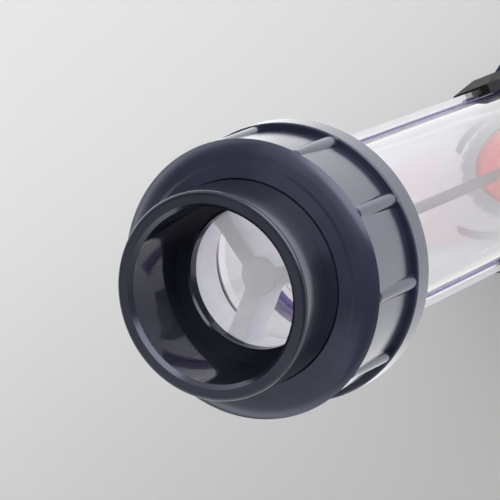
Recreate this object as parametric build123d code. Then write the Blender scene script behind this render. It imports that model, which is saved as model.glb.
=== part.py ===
"""A rotameter for a 63 mm plastic pipe: a clear metering tube with a float on a guide rod,
and at each end a union nut that holds a solvent-socket connector.

Millimetres. +Z is up, along the flow. The origin is the centre of the lower connector's mouth.
"""
import os
from math import pi

from build123d import *

# Pipe socket and connector
pipe_diameter = 63.0
socket_fit = 0.15
socket_depth = 32.6
socket_wall = 5.85
socket_floor = 5.0
flow_bore_radius = 26.0
mouth_chamfer = 1.5
mouth_rounding = 1.5
collar_overhang = 3.5
collar_thickness = 6.6

# Seal ring in the connector's end face
seal_edge_wall = 0.5
seal_section = 4.0
seal_groove_width = 4.6
seal_recess = 0.1

# Union thread, drawn plain at its outer diameter
thread_depth = 1.5
thread_fit = 0.4
thread_length = 25.0
thread_pitch = 6.0

# Union nut
nut_hole_fit = 0.4
nut_lip_fit = 0.3
nut_lip_thickness = 6.0
nut_length = 45.3
nut_wall = 7.4
nut_face_rise = 2.6
nut_face_width = 8.4
nut_crown_height = 2.9
nut_crown_bulge = 0.34
nut_crown_proud = 0.8
nut_body_taper = 0.9
nut_flange_height = 1.8
nut_flange_thickness = 9.8
nut_edge_rounding = 0.8
nut_bore_lead_in = 1.2

# Grip ribs of the nut
rib_count = 10
rib_azimuth = 28.0
rib_front_width = 5.0
rib_rear_width = 6.2
rib_top_gap = 0.5
rib_slope = 1.6
rib_nose_share = 0.8
rib_foot = 1.5

# Metering tube
tube_length = 350.0
tube_face_gap = 0.3
tube_outer_radius = 32.8
tube_low_wall = 7.2
tube_high_wall = 3.0
shoulder_length = 6.0
bead_offset = 54.1
bead_width = 5.0
bead_height = 4.0
bead_rounding = 1.4

# Rails that the setting pointers ride on
rail_root = 0.7
rail_neck_width = 5.0
rail_neck_height = 1.5
rail_head_width = 8.6
rail_head_height = 2.1

# Float guides
guide_length = 17.4
guide_ring_wall = 2.2
guide_ring_fit = 0.4
guide_flange_thickness = 3.0
guide_flange_overhang = 3.0
guide_flange_fit = 0.3
guide_seat_gap = 0.2
guide_nose = 1.0
guide_nose_fit = 0.7
guide_hub_radius = 7.2
guide_hub_taper = 1.4
guide_vane_thickness = 6.3
guide_vane_count = 3
guide_vane_azimuth = 73.6
guide_vane_flare = 2.2
guide_vane_flare_length = 5.5
guide_hub_wall = 4.4
guide_edge_rounding = 0.6

# Guide rod
rod_radius = 2.5
rod_seat_fit = 0.05
rod_end_gap = 0.2

# Float stops on the rod
stop_fit = 0.1
stop_wall = 3.2
stop_gap = 0.2
lower_stop_length = 19.8
upper_stop_length = 16.0
stop_pad_height = 4.0
stop_pad_overhang = 3.0

# Float
float_rest_gap = 0.3
float_length = 74.0
float_clearance = 1.2
float_ring_height = 11.9
float_ring_lip = 6.4
float_ring_ledge = 2.5
float_ring_ledge_height = 7.0
float_ring_taper = 1.4
float_ring_straight = 6.0
float_joint_gap = 0.1
float_body_setback = 1.8
float_body_band = 6.0
float_nose_radius = 11.0
float_floor = 12.0
float_cap_thickness = 3.8
float_cap_crown = 1.2
float_notch_count = 24
float_notch_width = 2.2
float_notch_depth = 1.3
float_notch_lean = 25.0

# Weight and bushes in the float
weight_headroom = 7.0
weight_radius = 10.5
weight_fit = 0.2
weight_edge = 1.0
weight_rod_clearance = 0.9
bush_fit = 0.15
bush_wall = 2.3
bush_seat_fit = 0.05
bush_flange_overhang = 2.0
bush_flange_thickness = 1.2
upper_bush_reach = 5.0

# Setting pointers
pointer_length = 44.0
pointer_width = 17.0
pointer_fit = 0.2
pointer_roof = 4.3
pointer_bevel = 3.4
pointer_ramp_length = 17.0
pointer_ramp_rise = 3.5
pointer_wall_gap = 0.4
pointer_stop_gap = 0.3
left_pointer_height = 24.8
right_pointer_height = 51.8
pointer_arm_reach = 28.0
pointer_arm_width = 14.0
pointer_arm_point = 1.6
pointer_arm_gap = 1.0
pointer_arm_thickness = 2.4

# Sizes that follow
socket_radius = pipe_diameter / 2 + socket_fit
socket_outer_radius = socket_radius + socket_wall
connector_length = socket_depth + socket_floor
collar_radius = socket_outer_radius + collar_overhang
collar_start = connector_length - collar_thickness
thread_radius = collar_radius + thread_depth
seal_circle_radius = collar_radius - seal_edge_wall - seal_groove_width / 2

nut_lip_inside = collar_start - nut_lip_fit
nut_front = nut_lip_inside - nut_lip_thickness
nut_rear = nut_front + nut_length
nut_hole_radius = socket_outer_radius + nut_hole_fit
nut_bore_radius = thread_radius + thread_fit
nut_radius = nut_bore_radius + nut_wall
nut_flange_radius = nut_radius + nut_flange_height
nut_flange_start = nut_rear - nut_flange_thickness

tube_bottom = connector_length + tube_face_gap
tube_top = tube_bottom + tube_length
total_length = tube_top + tube_face_gap + connector_length
middle = total_length / 2

low_bore_radius = tube_outer_radius - tube_low_wall
high_bore_radius = tube_outer_radius - tube_high_wall
pocket_depth = guide_length + guide_seat_gap
guide_ring_radius = high_bore_radius - guide_ring_fit
guide_inner_radius = guide_ring_radius - guide_ring_wall
guide_flange_radius = guide_ring_radius + guide_flange_overhang
flange_pocket_radius = guide_flange_radius + guide_flange_fit
flange_pocket_depth = guide_flange_thickness + guide_seat_gap

low_bead_bottom = tube_bottom + bead_offset
low_bead_top = low_bead_bottom + bead_width
high_bead_bottom = total_length - low_bead_top
rail_neck_top = tube_outer_radius + rail_neck_height
rail_top = rail_neck_top + rail_head_height

rod_bore_depth = guide_length - guide_hub_wall
rod_bottom = tube_bottom + guide_hub_wall + rod_end_gap
rod_top = total_length - rod_bottom

lower_stop_bottom = tube_bottom + guide_length + stop_gap
lower_stop_top = lower_stop_bottom + lower_stop_length
upper_stop_top = tube_top - guide_length - stop_gap
upper_stop_bottom = upper_stop_top - upper_stop_length
stop_inner_radius = rod_radius + stop_fit
stop_radius = stop_inner_radius + stop_wall
stop_pad_radius = stop_radius + stop_pad_overhang

float_bottom = lower_stop_top + float_rest_gap + bush_flange_thickness
float_ring_top = float_bottom + float_length
float_ring_bottom = float_ring_top - float_ring_height
bore_taper_start = tube_bottom + pocket_depth
bore_taper_end = tube_top - pocket_depth
bore_taper = (high_bore_radius - low_bore_radius) / (bore_taper_end - bore_taper_start)
bore_at_ring = low_bore_radius + bore_taper * (float_ring_top - bore_taper_start)
float_ring_radius = bore_at_ring - float_clearance
float_cap_radius = float_ring_radius - float_ring_lip
float_neck_radius = float_cap_radius - float_ring_ledge
float_body_radius = float_ring_radius - float_body_setback
float_shoulder = float_ring_bottom - float_joint_gap
float_neck_top = float_ring_bottom + float_ring_ledge_height
cap_bottom = float_neck_top + float_joint_gap
cap_top = cap_bottom + float_cap_thickness
pocket_floor = float_bottom + float_floor
pocket_radius = weight_radius + weight_fit
bush_radius = rod_radius + bush_fit + bush_wall
float_highest = max(cap_top + bush_flange_thickness, float_ring_top)
float_travel = upper_stop_bottom - float_rest_gap - float_highest

left_pointer_bottom = low_bead_top + left_pointer_height
right_pointer_bottom = low_bead_top + right_pointer_height
pointer_lowest = low_bead_top + pointer_stop_gap
pointer_highest = high_bead_bottom - pointer_stop_gap - pointer_length

unscrew_length = thread_length
unscrew_turns = unscrew_length / thread_pitch


def turned(points):
    """A solid turned about Z from a closed outline of radius and height."""
    with BuildPart() as part:
        with BuildSketch(Plane.XZ):
            with BuildLine():
                Polyline(*points, close=True)
            make_face()
        revolve(axis=Axis.Z)
    return part.part


def circles_at(part, height, low_radius, high_radius):
    """The round edges of a turned part at one height, between two radii."""
    found = part.edges().filter_by(GeomType.CIRCLE)
    found = found.filter_by(lambda edge: abs(edge.center().Z - height) < 0.01)
    return found.filter_by(lambda edge: low_radius - 0.01 < edge.radius < high_radius + 0.01)


def flipped(part):
    """The same piece for the upper end."""
    return mirror(part, about=Plane.XY.offset(middle))


def connector():
    """Solvent socket with a collar that the nut's lip pulls on, and a face groove for the seal."""
    body = turned([
        (socket_radius, 0),
        (socket_outer_radius, 0),
        (socket_outer_radius, collar_start),
        (collar_radius, collar_start),
        (collar_radius, connector_length),
        (flow_bore_radius, connector_length),
        (flow_bore_radius, socket_depth),
        (socket_radius, socket_depth),
    ])
    body = chamfer(circles_at(body, 0, socket_radius, socket_radius), mouth_chamfer)
    body = fillet(circles_at(body, 0, socket_outer_radius, socket_outer_radius), mouth_rounding)
    body = chamfer(circles_at(body, socket_depth, flow_bore_radius, flow_bore_radius), mouth_chamfer / 2)
    body = chamfer(circles_at(body, collar_start, collar_radius, collar_radius), nut_lip_fit * 2)
    groove_inside = seal_circle_radius - seal_groove_width / 2
    groove_outside = seal_circle_radius + seal_groove_width / 2
    groove_floor = connector_length - seal_section + seal_recess
    groove = turned([
        (groove_inside, groove_floor),
        (groove_outside, groove_floor),
        (groove_outside, connector_length + 1),
        (groove_inside, connector_length + 1),
    ])
    return body - groove


def seal_ring():
    """Round-section ring, lying in the groove and standing just proud of the face."""
    centre = connector_length + seal_recess - seal_section / 2
    with BuildPart() as ring:
        with BuildSketch(Plane.XZ):
            with Locations((seal_circle_radius, centre)):
                Circle(seal_section / 2 - seal_recess / 2)
        revolve(axis=Axis.Z)
    return ring.part


def nut_shell():
    """The nut without its ribs: a lip, a crowned front, straight sides and a rear flange."""
    crown_radius = nut_radius + nut_crown_proud
    crown_start = nut_hole_radius + nut_face_width
    crown_foot = nut_front + nut_face_rise + nut_crown_height
    with BuildPart() as shell:
        with BuildSketch(Plane.XZ):
            with BuildLine():
                Line((nut_hole_radius, nut_front), (crown_start, nut_front + nut_face_rise))
                SagittaArc(
                    (crown_start, nut_front + nut_face_rise), (crown_radius, crown_foot), -nut_crown_bulge)
                Polyline(
                    (crown_radius, crown_foot),
                    (nut_radius, crown_foot + nut_crown_proud),
                    (nut_radius - nut_body_taper, nut_flange_start),
                    (nut_flange_radius, nut_flange_start),
                    (nut_flange_radius, nut_rear),
                    (nut_bore_radius, nut_rear),
                    (nut_bore_radius, nut_lip_inside),
                    (nut_hole_radius, nut_lip_inside),
                    (nut_hole_radius, nut_front),
                )
            make_face()
        revolve(axis=Axis.Z)
    shell = shell.part
    rounded = circles_at(shell, nut_flange_start, nut_flange_radius, nut_flange_radius)
    rounded += circles_at(shell, nut_rear, nut_flange_radius, nut_flange_radius)
    shell = fillet(rounded, nut_edge_rounding)
    return chamfer(circles_at(shell, nut_rear, nut_bore_radius, nut_bore_radius), nut_bore_lead_in)


def nut_rib():
    """One grip rib on +X: a round-topped bar that widens from the crown to the flange."""
    foot = nut_radius - nut_body_taper - rib_foot
    top = nut_flange_radius - rib_top_gap
    front = nut_front + nut_face_rise + nut_crown_height + nut_crown_proud / 2
    stations = [
        (front, rib_front_width * rib_nose_share, nut_radius + nut_crown_proud / 2),
        (front + rib_slope, rib_front_width, top - rib_top_gap),
        (nut_flange_start + rib_foot, rib_rear_width, top),
    ]
    with BuildPart() as rib:
        for height, width, crest in stations:
            side = (foot + crest) / 2
            with BuildSketch(Plane.XY.offset(height)):
                with BuildLine():
                    Polyline((side, width / 2), (foot, width / 2), (foot, -width / 2), (side, -width / 2))
                    ThreePointArc((side, -width / 2), (crest, 0), (side, width / 2))
                make_face()
        loft(ruled=True)
    return rib.part


def union_nut():
    rib = nut_rib()
    step = 360 / rib_count
    return nut_shell() + [Rot(0, 0, rib_azimuth + step * turn) * rib for turn in range(rib_count)]


def tube_wall():
    """The clear tube turned in one piece: threaded ends, a bore that widens upwards and two beads."""
    outer = [
        (thread_radius - thread_depth, tube_bottom),
        (thread_radius, tube_bottom + thread_depth),
        (thread_radius, tube_bottom + thread_length),
        (tube_outer_radius, tube_bottom + thread_length + shoulder_length),
        (tube_outer_radius, low_bead_bottom),
        (tube_outer_radius + bead_height, low_bead_bottom),
        (tube_outer_radius + bead_height, low_bead_top),
        (tube_outer_radius, low_bead_top),
    ]
    inner = [
        (flange_pocket_radius, tube_bottom),
        (flange_pocket_radius, tube_bottom + flange_pocket_depth),
        (high_bore_radius, tube_bottom + flange_pocket_depth),
        (high_bore_radius, bore_taper_start),
    ]
    outer_high = [(radius, total_length - height) for radius, height in reversed(outer)]
    inner_high = [(radius, total_length - height) for radius, height in inner]
    inner_low = [(low_bore_radius, bore_taper_start)] + list(reversed(inner))
    wall = turned(outer + outer_high + inner_high + inner_low)
    rounded = []
    for height in (low_bead_bottom, low_bead_top, high_bead_bottom, total_length - low_bead_bottom):
        rounded += circles_at(wall, height, tube_outer_radius + bead_height, tube_outer_radius + bead_height)
    return fillet(rounded, bead_rounding)


def rail(side):
    """One T-shaped rail between the beads, on the side given as 1 or -1 along X."""
    length = high_bead_bottom - low_bead_top + bead_width
    start = low_bead_top - bead_width / 2
    foot = tube_outer_radius - rail_root
    neck = Pos(side * (foot + rail_neck_top) / 2, 0, start) * Box(
        rail_neck_top - foot, rail_neck_width, length, align=(Align.CENTER, Align.CENTER, Align.MIN))
    head = Pos(side * (rail_neck_top + rail_top) / 2, 0, start) * Box(
        rail_head_height, rail_head_width, length, align=(Align.CENTER, Align.CENTER, Align.MIN))
    return neck + head


def metering_tube():
    return tube_wall() + rail(1) + rail(-1)


def guide_vane(start, end):
    """One vane along +X, flared where it meets the ring, its nose just inside the connector's bore."""
    half = guide_vane_thickness / 2
    flare_start = guide_inner_radius - guide_vane_flare_length
    reach = guide_inner_radius + guide_ring_wall / 2
    nose_radius = flow_bore_radius - guide_nose_fit
    with BuildPart() as vane:
        with BuildSketch(Plane.XY.offset(start - guide_nose)):
            with BuildLine():
                Polyline((flare_start, half), (0, half), (0, -half), (flare_start, -half))
                TangentArc((flare_start, -half), (reach, -half - guide_vane_flare), tangent=(1, 0))
                Line((reach, -half - guide_vane_flare), (reach, half + guide_vane_flare))
                TangentArc((flare_start, half), (reach, half + guide_vane_flare), tangent=(1, 0))
            make_face()
        extrude(amount=end - start + guide_nose)
    room = turned([(0, start - guide_nose), (nose_radius, start - guide_nose), (nose_radius, start),
                   (reach, start), (reach, end), (0, end)])
    return vane.part & room


def float_guide():
    """Guide for the lower end: a hub on vanes inside a flanged ring, with a blind seat for the rod."""
    start = tube_bottom
    end = start + guide_length
    ring = turned([
        (guide_inner_radius, start),
        (guide_flange_radius, start),
        (guide_flange_radius, start + guide_flange_thickness),
        (guide_ring_radius, start + guide_flange_thickness),
        (guide_ring_radius, end),
        (guide_inner_radius, end),
    ])
    ring = fillet(circles_at(ring, start, guide_inner_radius, guide_inner_radius), guide_edge_rounding)
    hub = turned([
        (0, start - guide_nose),
        (guide_hub_radius, start - guide_nose),
        (guide_hub_radius, start + guide_length / 2),
        (guide_hub_radius - guide_hub_taper, end),
        (0, end),
    ])
    hub = fillet(circles_at(hub, start - guide_nose, guide_hub_radius, guide_hub_radius), guide_edge_rounding)
    vane = guide_vane(start, end)
    step = 360 / guide_vane_count
    vanes = [Rot(0, 0, guide_vane_azimuth + step * turn) * vane for turn in range(guide_vane_count)]
    guide = ring + hub + vanes
    seat = Pos(0, 0, end) * Cylinder(
        rod_radius + rod_seat_fit, rod_bore_depth, align=(Align.CENTER, Align.CENTER, Align.MAX))
    return guide - seat


def guide_rod():
    rod = Pos(0, 0, rod_bottom) * Cylinder(
        rod_radius, rod_top - rod_bottom, align=(Align.CENTER, Align.CENTER, Align.MIN))
    ends = circles_at(rod, rod_bottom, rod_radius, rod_radius)
    ends += circles_at(rod, rod_top, rod_radius, rod_radius)
    return chamfer(ends, rod_radius / 5)


def float_stop(base, tip):
    """Buffer sleeve on the rod, from the guide's hub at base to the float's side at tip."""
    towards = 1 if tip > base else -1
    pad = tip - towards * stop_pad_height
    return turned([
        (stop_inner_radius, base),
        (stop_radius, base),
        (stop_radius, pad - towards * stop_pad_overhang),
        (stop_pad_radius, pad),
        (stop_pad_radius, tip),
        (stop_inner_radius, tip),
    ])


def float_body():
    """Red body: a cone that opens upwards, a short straight band and a neck, with a pocket for the weight."""
    band_start = float_shoulder - float_body_band
    body = turned([
        (bush_radius + bush_seat_fit, float_bottom),
        (float_nose_radius, float_bottom),
        (float_body_radius, band_start),
        (float_body_radius, float_shoulder),
        (float_neck_radius, float_shoulder),
        (float_neck_radius, float_neck_top),
        (pocket_radius, float_neck_top),
        (pocket_radius, pocket_floor),
        (bush_radius + bush_seat_fit, pocket_floor),
    ])
    return fillet(circles_at(body, band_start, float_body_radius, float_body_radius), float_body_band / 2)


def float_ring():
    """Reading ring: its top rim is the float's widest edge, with slanted notches that spin it."""
    straight = float_ring_top - float_ring_straight
    ring = turned([
        (float_neck_radius + float_joint_gap, float_ring_bottom),
        (float_ring_radius - float_ring_taper, float_ring_bottom),
        (float_ring_radius, straight),
        (float_ring_radius, float_ring_top),
        (float_cap_radius + float_joint_gap, float_ring_top),
        (float_cap_radius + float_joint_gap, float_neck_top),
        (float_neck_radius + float_joint_gap, float_neck_top),
    ])
    notch = Pos(float_ring_radius, 0, float_ring_top) * Rot(float_notch_lean, 0, 0) * Box(
        2 * float_notch_depth, float_notch_width, 2 * float_ring_straight)
    step = 360 / float_notch_count
    return ring - [Rot(0, 0, step * turn) * notch for turn in range(float_notch_count)]


def float_cap():
    """Red cap over the weight's pocket, lying on the ring's ledge."""
    cap = turned([
        (bush_radius + bush_seat_fit, cap_bottom),
        (float_cap_radius, cap_bottom),
        (float_cap_radius, cap_top - float_cap_crown),
        (float_cap_radius - 2 * float_cap_crown, cap_top),
        (bush_radius + bush_seat_fit, cap_top),
    ])
    rounded = circles_at(cap, cap_top, float_cap_radius - 3 * float_cap_crown, float_cap_radius)
    return fillet(rounded, float_cap_crown)


def float_weight():
    inside = rod_radius + weight_rod_clearance
    bottom = pocket_floor + weight_fit
    top = cap_bottom - weight_headroom
    slug = turned([
        (inside, bottom),
        (weight_radius, bottom),
        (weight_radius, top),
        (inside, top),
    ])
    return chamfer(circles_at(slug, top, weight_radius, weight_radius), weight_edge)


def guide_bush(outer_face, inner_end):
    """Flanged bush on the rod, pushed in from the float's outer face."""
    outwards = 1 if outer_face > inner_end else -1
    return turned([
        (rod_radius + bush_fit, inner_end),
        (bush_radius, inner_end),
        (bush_radius, outer_face),
        (bush_radius + bush_flange_overhang, outer_face),
        (bush_radius + bush_flange_overhang, outer_face + outwards * bush_flange_thickness),
        (rod_radius + bush_fit, outer_face + outwards * bush_flange_thickness),
    ])


def pointer_arm(centre):
    """Pointed arm that follows the tube round from the slider towards the scale at the front."""
    inner = tube_outer_radius + pointer_arm_gap
    outer = inner + pointer_arm_thickness
    root = -pointer_width / 2 + pointer_arm_thickness / 2
    sleeve = Pos(0, 0, centre) * (Cylinder(outer, pointer_arm_width) - Cylinder(inner, pointer_arm_width))
    with BuildPart() as wedge:
        with BuildSketch(Plane.YZ):
            Polygon(
                (root, centre - pointer_arm_width / 2), (root, centre + pointer_arm_width / 2),
                (-pointer_arm_reach, centre + pointer_arm_point / 2),
                (-pointer_arm_reach, centre - pointer_arm_point / 2), align=None)
        extrude(amount=outer)
    return sleeve & wedge.part


def setting_pointer(side, bottom):
    """Slider that grips one rail's head: bevelled sides, long ramps at its ends, an arm towards the scale."""
    inner = tube_outer_radius + pointer_wall_gap
    outer = rail_top + pointer_fit + pointer_roof
    half = pointer_width / 2
    crest = half - pointer_bevel
    top = bottom + pointer_length
    with BuildPart() as slider:
        with BuildSketch(Plane.XY.offset(bottom)):
            Polygon(
                (inner, -half), (outer - pointer_bevel, -half), (outer, -crest),
                (outer, crest), (outer - pointer_bevel, half), (inner, half), align=None)
            with Locations(((inner + rail_neck_top) / 2, 0)):
                Rectangle(rail_neck_top - inner + 2 * pointer_fit, rail_neck_width + 2 * pointer_fit,
                          mode=Mode.SUBTRACT)
            with Locations(((rail_neck_top + rail_top) / 2, 0)):
                Rectangle(rail_head_height + 2 * pointer_fit, rail_head_width + 2 * pointer_fit,
                          mode=Mode.SUBTRACT)
        extrude(amount=pointer_length)
    with BuildPart() as side_view:
        with BuildSketch(Plane.XZ):
            Polygon(
                (inner, bottom), (outer - pointer_ramp_rise, bottom), (outer, bottom + pointer_ramp_length),
                (outer, top - pointer_ramp_length), (outer - pointer_ramp_rise, top), (inner, top),
                align=None)
        extrude(amount=half, both=True)
    pointer = (slider.part & side_view.part) + pointer_arm(bottom + pointer_length / 2)
    if side < 0:
        pointer = mirror(pointer, about=Plane.YZ)
    return pointer


def pieces():
    lower = {
        "connector": connector(),
        "union_nut": union_nut(),
        "seal_ring": seal_ring(),
        "guide": float_guide(),
    }
    made = {"lower_" + name: part for name, part in lower.items()}
    made.update({"upper_" + name: flipped(part) for name, part in lower.items()})
    made["metering_tube"] = metering_tube()
    made["guide_rod"] = guide_rod()
    made["lower_float_stop"] = float_stop(lower_stop_bottom, lower_stop_top)
    made["upper_float_stop"] = float_stop(upper_stop_top, upper_stop_bottom)
    made["float_body"] = float_body()
    made["float_ring"] = float_ring()
    made["float_cap"] = float_cap()
    made["float_weight"] = float_weight()
    made["lower_bush"] = guide_bush(float_bottom, pocket_floor)
    made["upper_bush"] = guide_bush(cap_top, cap_bottom - upper_bush_reach)
    made["left_pointer"] = setting_pointer(-1, left_pointer_bottom)
    made["right_pointer"] = setting_pointer(1, right_pointer_bottom)
    return made


os.makedirs("parts", exist_ok=True)
for node, part in pieces().items():
    export_step(part, "parts/" + node + ".step")
    box = part.bounding_box()
    print(node, "from", [round(v, 2) for v in box.min], "to", [round(v, 2) for v in box.max])
print("total length", round(total_length, 3))
print("float travel", round(float_travel, 3), "rest height of its rim", round(float_ring_top, 3))
for name, bottom in (("left", left_pointer_bottom), ("right", right_pointer_bottom)):
    print(name, "pointer slides", round(pointer_lowest - bottom, 3), "to", round(pointer_highest - bottom, 3))
print("union nut", round(unscrew_length, 3), "mm in", round(unscrew_turns, 3), "turns,",
      round(thread_pitch / (2 * pi) / 1000, 9), "m per radian")
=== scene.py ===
"""The looks of a rotameter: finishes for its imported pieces, a printed scale, light and camera."""
import math

import bmesh
import bpy
from mathutils import Matrix, Vector


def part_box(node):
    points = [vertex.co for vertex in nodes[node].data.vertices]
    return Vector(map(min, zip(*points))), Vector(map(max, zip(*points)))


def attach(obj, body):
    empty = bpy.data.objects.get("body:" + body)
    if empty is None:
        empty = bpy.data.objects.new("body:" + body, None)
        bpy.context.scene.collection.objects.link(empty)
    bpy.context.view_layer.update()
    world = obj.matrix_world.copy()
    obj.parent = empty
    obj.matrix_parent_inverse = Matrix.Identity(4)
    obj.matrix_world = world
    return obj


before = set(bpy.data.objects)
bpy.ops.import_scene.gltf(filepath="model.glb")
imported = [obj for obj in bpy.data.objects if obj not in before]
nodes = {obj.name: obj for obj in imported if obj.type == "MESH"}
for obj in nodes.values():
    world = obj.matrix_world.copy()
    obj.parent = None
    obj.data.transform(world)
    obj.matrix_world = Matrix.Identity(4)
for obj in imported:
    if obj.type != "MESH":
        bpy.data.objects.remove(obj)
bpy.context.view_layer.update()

MM = 0.001

# Camera, at the photograph's angle
camera_aim = Vector((-9.96, 2.97, 393.12)) * MM
camera_distance = 1070 * MM
camera_azimuth = math.radians(91.014)
camera_elevation = math.radians(59.962)
camera_roll = math.radians(-112.151)
camera_lens = 216.0
camera_sensor = 36.0
camera_near_limit = 50 * MM

# Studio bay: its brightness at the horizon and overhead, and the rise, as the sine of the
# elevation, over which it dims from one to the other
bay_low = 1.9
bay_high = 0.25
bay_dims_from = 0.1
bay_dims_to = 0.6

# Three soft glows in the bay: their directions, their levels, and the cosines off their middles
# where they begin and where they are full
glows = (
    ((-0.47, 0.82, 0.32), 3.8, 0.77, 0.9),
    ((-0.54, 0.45, 0.71), 0.9, 0.72, 0.95),
    ((0.5, -0.56, 0.66), 0.7, 0.78, 0.9),
)

# Floor, in metres: its half width, the way across it that painted shade darkens, and where that begins
# and ends
floor_reach = 6.0
floor_shade_way = (0.97, 0.24, 0.0)
floor_shade_begins = -0.33
floor_shade_ends = 0.25

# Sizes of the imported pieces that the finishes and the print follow, in millimetres
tube_radius = 32.8
socket_bore_radius = 31.65
socket_bore_margin = 0.2
thread_radius = 42.7
thread_band = 0.6
thread_pitch = 6.0
thread_depth = 1.2
bead_offset = 54.1
bead_width = 5.0
bead_margin = 0.3
rail_neck_rise = 0.2
rail_neck_band = 0.4

# Clear tube: the share of light that its wall and its thick parts let through, the density of its
# tint, and the slant, as Layer Weight's facing, from which its edges turn violet
wall_clearness = 0.97
thick_clearness = 0.4
tint_density = 7.0
edge_begins = 0.8
edge_full = 0.98

# Phase of the wave pattern over one unit of its coordinates, in radians
wave_phase = 20

# Scale printed on the tube's front, in millimetres and degrees
scale_azimuth = math.radians(-90)
scale_lift = 0.08
scale_above_rest = 46.0
scale_below_bead = 8.0
scale_count = 10
scale_fine_steps = 5
mark_height = 0.5
mark_segments = 8
long_mark = 13.0
short_mark = 7.0
number_height = 6.5
number_gap = 3.0


def linear(hex_colour):
    """An sRGB colour such as "3a3f4b" as linear red, green, blue and alpha."""
    channels = [int(hex_colour[i:i + 2], 16) / 255 for i in (0, 2, 4)]
    return [c / 12.92 if c <= 0.04045 else ((c + 0.055) / 1.055) ** 2.4 for c in channels] + [1.0]


def per_metre(millimetres):
    """The scale of a pattern whose features are that wide, in metres of Object coordinates."""
    return 1 / (millimetres * MM)


def put(tree, kind, inputs=None, **settings):
    """Adds one node, with its own settings and its inputs as values or as other nodes' outputs."""
    node = tree.nodes.new("ShaderNode" + kind)
    for name, value in settings.items():
        setattr(node, name, value)
    for name, value in (inputs or {}).items():
        if isinstance(value, bpy.types.NodeSocket):
            tree.links.new(value, node.inputs[name])
        else:
            node.inputs[name].default_value = value
    return node


def finish_named(name, shader_values):
    """A material with one shader, its coordinates and its output; the caller links the patterns."""
    material = bpy.data.materials.new(name)
    material.use_nodes = True
    tree = material.node_tree
    tree.nodes.clear()
    place = put(tree, "TexCoord").outputs["Object"]
    shader = put(tree, "BsdfPrincipled", shader_values)
    put(tree, "OutputMaterial", {"Surface": shader.outputs["BSDF"]})
    return material, tree, shader, place


def mottle(tree, shader, place, dark, light, patch):
    """Colour that drifts between two tones over patches of the given width in millimetres."""
    noise = put(tree, "TexNoise", {"Vector": place, "Scale": per_metre(patch), "Detail": 3.0})
    drift = put(tree, "MapRange", {
        "Value": noise.outputs["Fac"], "From Min": 0.35, "From Max": 0.65})
    tone = put(tree, "Mix", {
        "Factor": drift.outputs["Result"], "A": linear(dark), "B": linear(light)},
        data_type="RGBA")
    tree.links.new(tone.outputs["Result"], shader.inputs["Base Color"])


def uneven_gloss(tree, shader, place, patch, smooth, dull):
    """Roughness that drifts between two values over patches of the given width in millimetres."""
    noise = put(tree, "TexNoise", {"Vector": place, "Scale": per_metre(patch), "Detail": 4.0})
    level = put(tree, "MapRange", {
        "Value": noise.outputs["Fac"], "From Min": 0.3, "From Max": 0.7,
        "To Min": smooth, "To Max": dull})
    tree.links.new(level.outputs["Result"], shader.inputs["Roughness"])


def grain(tree, place, width, height):
    """Heights of a fine irregular relief, its width and height in millimetres."""
    noise = put(tree, "TexNoise", {"Vector": place, "Scale": per_metre(width), "Detail": 2.0})
    scaled = put(tree, "Math", {0: noise.outputs["Fac"], 1: height * MM}, operation="MULTIPLY")
    return scaled.outputs["Value"]


def lathe_marks(tree, place, feed, height):
    """Heights of the rings that a lathe tool leaves round the axis, feed millimetres apart."""
    rings = put(tree, "TexWave", {
        "Vector": place, "Scale": per_metre(feed) * 2 * math.pi / wave_phase, "Distortion": 0.8,
        "Detail": 2.0}, bands_direction="Z")
    scaled = put(tree, "Math", {0: rings.outputs["Fac"], 1: height * MM}, operation="MULTIPLY")
    return scaled.outputs["Value"]


def radius_at(tree, place):
    """Distance from the object's axis, in metres."""
    flat = put(tree, "VectorMath", {0: place, 1: (1.0, 1.0, 0.0)}, operation="MULTIPLY")
    return put(tree, "VectorMath", {0: flat.outputs["Vector"]}, operation="LENGTH").outputs["Value"]


def union_thread(tree, place):
    """Heights of the union's helical ridge, only on the cylinders where nut and tube meet."""
    split = put(tree, "SeparateXYZ", {"Vector": place})
    turn = put(tree, "Math", {0: split.outputs["Y"], 1: split.outputs["X"]}, operation="ARCTAN2")
    advance = put(tree, "Math", {
        0: turn.outputs["Value"], 1: thread_pitch * MM / (2 * math.pi), 2: split.outputs["Z"]},
        operation="MULTIPLY_ADD")
    ridge = put(tree, "Math", {
        0: advance.outputs["Value"], 1: thread_pitch * MM / 2}, operation="PINGPONG")
    flank = put(tree, "MapRange", {
        "Value": ridge.outputs["Value"], "From Min": 0.0, "From Max": thread_pitch * MM / 2,
        "To Max": thread_depth * MM}, interpolation_type="SMOOTHSTEP")
    band = put(tree, "Math", {
        0: radius_at(tree, place), 1: thread_radius * MM, 2: thread_band * MM},
        operation="COMPARE")
    there = put(tree, "Math", {
        0: flank.outputs["Result"], 1: band.outputs["Value"]}, operation="MULTIPLY")
    return there.outputs["Value"]


def carve(tree, shader, *heights):
    """Gives the shader the sum of some heights in metres as relief."""
    total = heights[0]
    for height in heights[1:]:
        total = put(tree, "Math", {0: total, 1: height}, operation="ADD").outputs["Value"]
    relief = put(tree, "Bump", {"Height": total, "Distance": 1.0})
    tree.links.new(relief.outputs["Normal"], shader.inputs["Normal"])


def rigid_vinyl(name, dark, light, smooth, dull):
    """PVC-U, injection moulded: slate grey with a blue cast, the even gloss of a polished mould."""
    material, tree, shader, place = finish_named(name, {
        "IOR": 1.6, "Specular Tint": linear("dde1f6")})
    mottle(tree, shader, place, dark, light, patch=18)
    uneven_gloss(tree, shader, place, 24, smooth, dull)
    carve(tree, shader, grain(tree, place, width=5, height=0.006), union_thread(tree, place))
    return material


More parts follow.
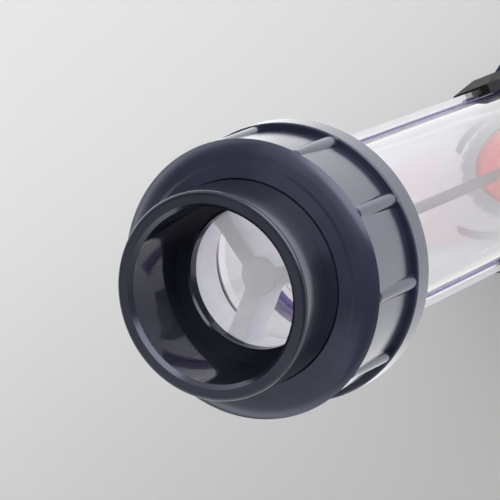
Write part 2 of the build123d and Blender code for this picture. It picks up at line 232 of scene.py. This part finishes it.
def polished_bore(material):
    """Makes the socket's bore glossier than the rest: it is formed by a polished core pin."""
    tree = material.node_tree
    shader = next(n for n in tree.nodes if n.type == "BSDF_PRINCIPLED")
    place = next(n for n in tree.nodes if n.type == "TEX_COORD").outputs["Object"]
    drift = shader.inputs["Roughness"].links[0].from_socket
    inside = put(tree, "Math", {
        0: radius_at(tree, place), 1: (socket_bore_radius + socket_bore_margin) * MM},
        operation="LESS_THAN")
    level = put(tree, "Mix", {"Factor": inside.outputs["Value"], "A": drift, "B": 0.06})
    tree.links.new(level.outputs["Result"], shader.inputs["Roughness"])
    return material


def clear_tube_plastic():
    """Clear moulded plastic: faintly milky, violet along its edges and where it is thick."""
    material, tree, shader, place = finish_named("clear_plastic_moulded", {
        "Roughness": 0.03, "IOR": 1.49})
    split = put(tree, "SeparateXYZ", {"Vector": place})
    along = put(tree, "LayerWeight", {"Blend": 0.5}).outputs["Facing"]
    edge = put(tree, "MapRange", {"Value": along, "From Min": edge_begins, "From Max": edge_full})
    wall = put(tree, "Mix", {
        "Factor": edge.outputs["Result"], "A": linear("fcfbfe"), "B": linear("7d6ca8")},
        data_type="RGBA")

    # The beads and the necks of the rails are the thick parts
    low_bead, high_bead = (put(tree, "Math", {
        0: split.outputs["Z"], 1: centre, 2: (bead_width / 2 + bead_margin) * MM},
        operation="COMPARE") for centre in bead_centres())
    bead = put(tree, "Math", {
        0: low_bead.outputs["Value"], 1: high_bead.outputs["Value"]}, operation="MAXIMUM")
    side = put(tree, "Math", {0: split.outputs["X"]}, operation="ABSOLUTE")
    neck = put(tree, "Math", {
        0: side.outputs["Value"], 1: (tube_radius + rail_neck_rise) * MM, 2: rail_neck_band * MM},
        operation="COMPARE")
    thick = put(tree, "Math", {
        0: neck.outputs["Value"], 1: bead.outputs["Value"]}, operation="MAXIMUM")
    tone = put(tree, "Mix", {
        "Factor": thick.outputs["Value"], "A": wall.outputs["Result"], "B": linear("453873")},
        data_type="RGBA")
    tree.links.new(tone.outputs["Result"], shader.inputs["Base Color"])
    clearness = put(tree, "Mix", {
        "Factor": thick.outputs["Value"], "A": wall_clearness, "B": thick_clearness})
    tree.links.new(clearness.outputs["Result"], shader.inputs["Transmission Weight"])
    carve(tree, shader, grain(tree, place, width=14, height=0.01), union_thread(tree, place))

    # Light passes the clear wall unbroken, so that the float, the rod and the guides are lit
    ray = put(tree, "LightPath")
    lit_through = put(tree, "Math", {
        0: ray.outputs["Is Shadow Ray"], 1: ray.outputs["Is Diffuse Ray"]}, operation="MAXIMUM")
    clear = put(tree, "BsdfTransparent", {"Color": linear("f6f5f8")})
    both = put(tree, "MixShader", {
        "Fac": lit_through.outputs["Value"], 1: shader.outputs["BSDF"], 2: clear.outputs["BSDF"]})
    tint = put(tree, "VolumeAbsorption", {"Color": linear("bdb0d6"), "Density": tint_density})
    output = next(n for n in tree.nodes if n.type == "OUTPUT_MATERIAL")
    tree.links.new(both.outputs["Shader"], output.inputs["Surface"])
    tree.links.new(tint.outputs["Volume"], output.inputs["Volume"])
    return material


def bead_centres():
    """Heights of the middles of the tube's two beads, in metres."""
    low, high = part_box("metering_tube")
    offset = (bead_offset + bead_width / 2) * MM
    return low.z + offset, high.z - offset


def natural_plastic():
    """Natural moulded plastic of the guides: milky, with a painted glow for the light the tube lets
    in.
    """
    material, tree, shader, place = finish_named("natural_plastic_moulded", {
        "IOR": 1.49, "Subsurface Weight": 0.35, "Subsurface Scale": 0.006,
        # The emission is a painted glow, not a lamp: it stands in for light that the clear tube
        # carries to the guides.
        "Emission Color": linear("c9cad0"), "Emission Strength": 0.18})
    mottle(tree, shader, place, "d2d3d7", "dcdde1", patch=9)
    uneven_gloss(tree, shader, place, 10, 0.3, 0.42)
    carve(tree, shader, grain(tree, place, width=0.8, height=0.003))
    return material


def turned_steel(name, dark, light, rough):
    """Stainless steel, ground or turned: a soft grey gleam with fine rings round the axis."""
    material, tree, shader, place = finish_named(name, {"Metallic": 1.0, "Roughness": rough})
    mottle(tree, shader, place, dark, light, patch=4)
    carve(tree, shader, lathe_marks(tree, place, feed=1.2, height=0.01))
    return material


def turned_plastic(name, dark, light, rough, feed):
    """Plastic turned on a lathe: satin, with the tool's feed marks round the axis."""
    material, tree, shader, place = finish_named(name, {"IOR": 1.47, "Roughness": rough})
    mottle(tree, shader, place, dark, light, patch=12)
    carve(tree, shader, lathe_marks(tree, place, feed, height=0.006))
    return material


def moulded_rubber(name, dark, light):
    """Moulded rubber or soft plastic: matt."""
    material, tree, shader, place = finish_named(name, {"IOR": 1.52})
    mottle(tree, shader, place, dark, light, patch=6)
    uneven_gloss(tree, shader, place, 8, 0.6, 0.75)
    carve(tree, shader, grain(tree, place, width=0.5, height=0.01))
    return material


def black_nylon():
    """Glass-filled nylon of the setting pointers: black and dull, with a spark-eroded grain."""
    material, tree, shader, place = finish_named("black_nylon_moulded", {
        "IOR": 1.53, "Specular IOR Level": 0.1})
    mottle(tree, shader, place, "101013", "17171a", patch=5)
    uneven_gloss(tree, shader, place, 12, 0.6, 0.72)
    carve(tree, shader, grain(tree, place, width=0.6, height=0.02))
    return material


def screen_ink():
    """Screen-printed ink: black, thin and even, with a soft gloss."""
    material, tree, shader, place = finish_named("screen_ink_black", {"IOR": 1.5})
    mottle(tree, shader, place, "15161a", "22242a", patch=1.5)
    uneven_gloss(tree, shader, place, 3, 0.3, 0.45)
    return material


def dress(material, *names):
    """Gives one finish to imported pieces."""
    for name in names:
        slots = nodes[name].data.materials
        slots.clear()
        slots.append(material)


def printed(name, shape, material):
    """Makes a printed piece of the tube from its finished mesh."""
    mesh = bpy.data.meshes.new(name)
    shape.to_mesh(mesh)
    shape.free()
    mesh.materials.append(material)
    piece = bpy.data.objects.new(name, mesh)
    bpy.context.scene.collection.objects.link(piece)
    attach(piece, "meter")
    return piece


def on_tube(across, height):
    """A point of the print: its way round the tube from the scale's middle, and its height."""
    radius = (tube_radius + scale_lift) * MM
    angle = scale_azimuth + across / radius
    return Vector((radius * math.cos(angle), radius * math.sin(angle), height))


def scale_heights():
    """Heights of the scale's numbered marks, between the float's rest and the upper bead."""
    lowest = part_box("float_ring")[1].z + scale_above_rest * MM
    highest = bead_centres()[1] - (bead_width / 2 + scale_below_bead) * MM
    step = (highest - lowest) / (scale_count - 1)
    return [lowest + step * number for number in range(scale_count)]


def printed_marks(material):
    """Fine and numbered marks, each a narrow strip of the tube's surface."""
    shape = bmesh.new()
    heights = scale_heights()
    fine = (heights[1] - heights[0]) / scale_fine_steps
    for number in range((scale_count - 1) * scale_fine_steps + 1):
        height = heights[0] + fine * number
        length = (short_mark if number % scale_fine_steps else long_mark) * MM
        ends = [shape.verts.new(on_tube(0, height + side * mark_height / 2 * MM))
                for side in (-1, 1)]
        edge = shape.edges.new(ends)
        bmesh.ops.spin(shape, geom=[edge], axis=(0, 0, 1), cent=(0, 0, 0), steps=mark_segments,
                       angle=length / ((tube_radius + scale_lift) * MM))
    bmesh.ops.reverse_faces(shape, faces=shape.faces)
    return printed("scale_marks", shape, material)


def printed_numbers(material):
    """Plain numbers beside the long marks, bent to the tube."""
    shape = bmesh.new()
    for number, height in enumerate(scale_heights(), 1):
        words = bpy.data.curves.new("number", "FONT")
        words.body = str(number)
        words.size = number_height * MM
        words.align_x = "RIGHT"
        words.align_y = "CENTER"
        holder = bpy.data.objects.new("number", words)
        flat = bpy.data.meshes.new_from_object(holder)
        start = len(shape.verts)
        shape.from_mesh(flat)
        shape.verts.ensure_lookup_table()
        for vert in shape.verts[start:]:
            vert.co = on_tube(vert.co.x - number_gap * MM, height + vert.co.y)
        bpy.data.objects.remove(holder)
        bpy.data.curves.remove(words)
        bpy.data.meshes.remove(flat)
    return printed("scale_numbers", shape, material)


def soft_light(name, place, towards, size, watts, mirrored):
    """A rectangular soft light facing a point; camera and clear plastic don't show the lamp."""
    lamp = bpy.data.lights.new(name, "AREA")
    lamp.shape = "RECTANGLE"
    lamp.size, lamp.size_y = size
    lamp.energy = watts
    holder = bpy.data.objects.new(name, lamp)
    facing = (Vector(towards) - Vector(place)).to_track_quat("-Z", "Y")
    holder.matrix_world = Matrix.LocRotScale(Vector(place), facing, None)
    holder.visible_camera = False
    holder.visible_transmission = False
    holder.visible_glossy = mirrored
    bpy.context.scene.collection.objects.link(holder)


def backdrop():
    """Floor of matt paper: pale and without gloss, with painted shade making it darker away from the
    light.
    """
    floor = bpy.data.meshes.new("floor")
    shape = bmesh.new()
    bmesh.ops.create_grid(shape, x_segments=1, y_segments=1, size=floor_reach)
    shape.to_mesh(floor)
    shape.free()
    ground = bpy.data.objects.new("floor", floor)
    bpy.context.scene.collection.objects.link(ground)
    material, tree, shader, place = finish_named("matt_paper", {
        "Roughness": 0.9, "Specular IOR Level": 0.1})
    # Painted shade: the paper's colour turns darker across the floor, standing in for the light's
    # falloff.
    across = put(tree, "VectorMath", {0: place, 1: floor_shade_way}, operation="DOT_PRODUCT")
    painted_shade = put(tree, "MapRange", {
        "Value": across.outputs["Value"], "From Min": floor_shade_begins,
        "From Max": floor_shade_ends}, interpolation_type="SMOOTHSTEP")
    tone = put(tree, "Mix", {
        "Factor": painted_shade.outputs["Result"], "A": linear("dedede"), "B": linear("adadad")},
        data_type="RGBA")
    tree.links.new(tone.outputs["Result"], shader.inputs["Base Color"])
    floor.materials.append(material)


def surround():
    """Even pale studio bay, dim overhead, with soft glows that the nut's crown mirrors."""
    world = bpy.data.worlds.new("studio")
    bpy.context.scene.world = world
    world.use_nodes = True
    tree = world.node_tree
    tree.nodes.clear()
    way = put(tree, "TexCoord").outputs["Generated"]
    rise = put(tree, "SeparateXYZ", {"Vector": way}).outputs["Z"]
    level = put(tree, "MapRange", {
        "Value": rise, "From Min": bay_dims_from, "From Max": bay_dims_to,
        "To Min": bay_low, "To Max": bay_high}, interpolation_type="SMOOTHSTEP").outputs["Result"]
    for towards, strength, edge, core in glows:
        near = put(tree, "VectorMath", {0: way, 1: towards}, operation="DOT_PRODUCT")
        glow = put(tree, "MapRange", {
            "Value": near.outputs["Value"], "From Min": edge, "From Max": core,
            "To Max": strength}, interpolation_type="SMOOTHSTEP")
        level = put(tree, "Math", {
            0: level, 1: glow.outputs["Result"]}, operation="ADD").outputs["Value"]
    sky = put(tree, "Background", {"Color": linear("f5f5f6"), "Strength": level})
    put(tree, "OutputWorld", {"Surface": sky.outputs["Background"]})


def camera():
    """Looks down at the near end from the photograph's angle, rolled as the photograph is."""
    lens = bpy.data.cameras.new("camera")
    lens.lens = camera_lens
    lens.sensor_width = camera_sensor
    lens.clip_start = camera_near_limit
    back = Vector((
        math.cos(camera_elevation) * math.cos(camera_azimuth),
        math.cos(camera_elevation) * math.sin(camera_azimuth),
        math.sin(camera_elevation)))
    level = back.to_track_quat("Z", "Y").to_matrix()
    turned = level @ Matrix.Rotation(camera_roll, 3, "Z")
    holder = bpy.data.objects.new("camera", lens)
    holder.matrix_world = Matrix.LocRotScale(camera_aim + camera_distance * back, turned, None)
    bpy.context.scene.collection.objects.link(holder)
    bpy.context.scene.camera = holder


polished_vinyl = rigid_vinyl("rigid_vinyl_polished", "15171f", "1a1d27", smooth=0.1, dull=0.16)
satin_vinyl = rigid_vinyl("rigid_vinyl_satin", "1d202d", "242736", smooth=0.16, dull=0.24)
seal_rubber = moulded_rubber("seal_rubber_moulded", "161617", "1e1e20")
rod_steel = turned_steel("stainless_rod_ground", "7b7977", "8e8c89", rough=0.25)
weight_steel = turned_steel("steel_weight_turned", "8f8d8a", "a19f9b", rough=0.3)
buffer_plastic = moulded_rubber("buffer_plastic_moulded", "a2a3a5", "adaeb0")
red_plastic = turned_plastic("red_plastic_turned", "c40a0e", "cf1519", rough=0.3, feed=0.8)
grey_plastic = turned_plastic("grey_plastic_turned", "7e7f82", "8a8b8e", rough=0.4, feed=0.8)
bush_plastic = turned_plastic("bush_plastic_turned", "d9d9d4", "e4e4df", rough=0.35, feed=0.6)

dress(polished_bore(polished_vinyl), "lower_connector", "upper_connector")
dress(satin_vinyl, "lower_union_nut", "upper_union_nut")
dress(seal_rubber, "lower_seal_ring", "upper_seal_ring")
dress(clear_tube_plastic(), "metering_tube")
dress(natural_plastic(), "lower_guide", "upper_guide")
dress(rod_steel, "guide_rod")
dress(weight_steel, "float_weight")
dress(buffer_plastic, "lower_float_stop", "upper_float_stop")
dress(red_plastic, "float_body", "float_cap")
dress(grey_plastic, "float_ring")
dress(bush_plastic, "lower_bush", "upper_bush")
dress(black_nylon(), "left_pointer", "right_pointer")

ink = screen_ink()
printed_marks(ink)
printed_numbers(ink)

backdrop()
surround()
soft_light("table_panel", place=(0, 0, 0.002), towards=(0, 0, 1), size=(1.0, 1.0), watts=4.0,
           mirrored=True)
soft_light("socket_panel", place=(-0.15, 0.1, 1.4), towards=(0, 0, 0.39), size=(0.3, 0.3),
           watts=1.3, mirrored=False)
camera()
bpy.context.scene.view_settings.view_transform = "Standard"
